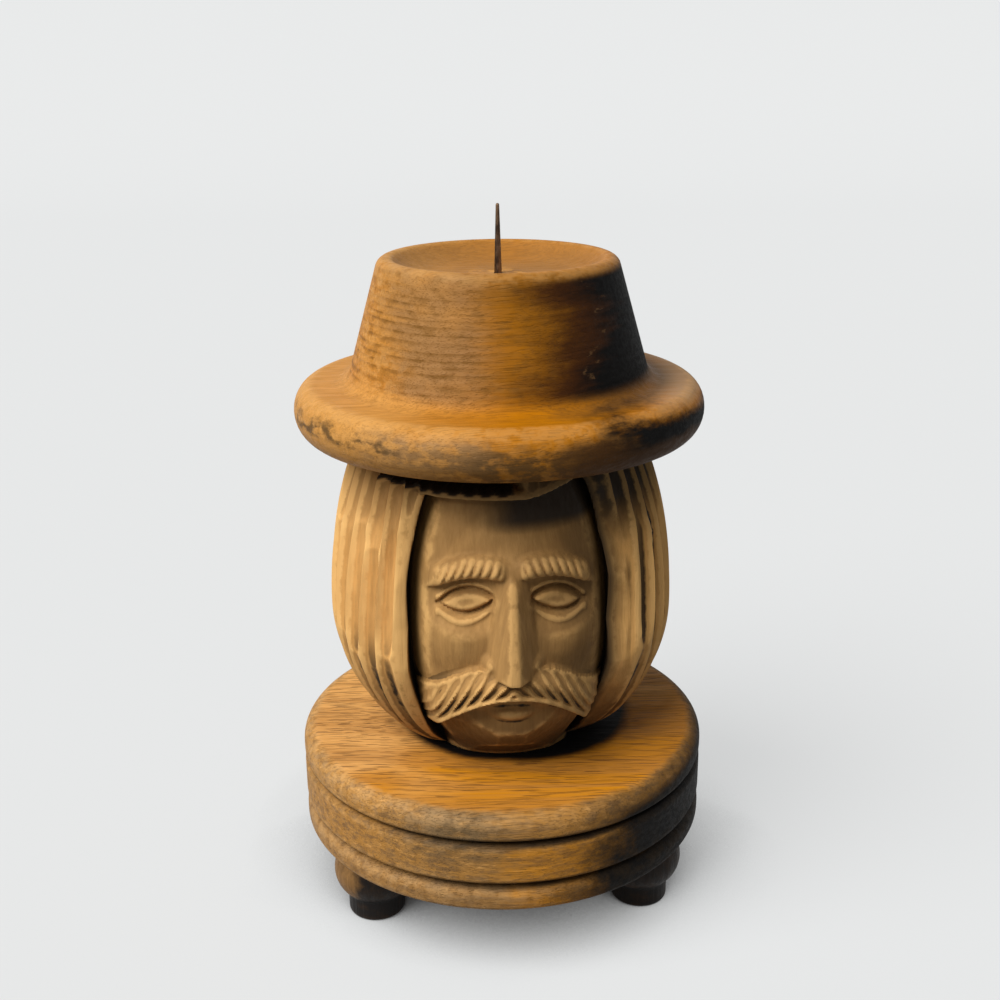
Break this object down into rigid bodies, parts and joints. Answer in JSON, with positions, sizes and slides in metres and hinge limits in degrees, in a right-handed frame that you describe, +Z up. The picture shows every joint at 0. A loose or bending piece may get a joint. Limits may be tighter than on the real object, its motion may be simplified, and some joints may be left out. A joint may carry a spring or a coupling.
{
  "type": "candlestick",
  "caption": "Turned and carved wooden candlestick: a moustached head in a brimmed hat on a grooved round base with ball feet; the dished crown takes a candle on a steel spike.",
  "frame": {"origin": "on the floor plane under the soles of the feet, on the turning axis of the base, head and hat", "axes": "+Z up along the turning axis, the face looks along -Y, +X to the right of someone looking at the face"},
  "size_m": [0.11, 0.11, 0.1869],
  "materials": {
    "hat_wood": "amber-brown stain with dark patches, satin varnish",
    "head_wood": "carved, thin stain with dark patina in the cuts, matt",
    "base_wood": "amber-brown stain over open pores, satin varnish",
    "foot_wood": "dark brown stain, satin varnish",
    "dowel_wood": "plain, glued in",
    "spike_steel": "darkened by heat and wax",
    "screw_steel": "plain bright steel, a little dull"
  },
  "bodies": {
    "root": {"hat": "hat_wood", "candle_spike": "spike_steel", "hat_dowel": "dowel_wood", "head": "head_wood", "base": "base_wood", "base_screw": "screw_steel", "foot_front_left": "foot_wood", "foot_front_right": "foot_wood", "foot_rear": "foot_wood"}
  },
  "joints": []
}
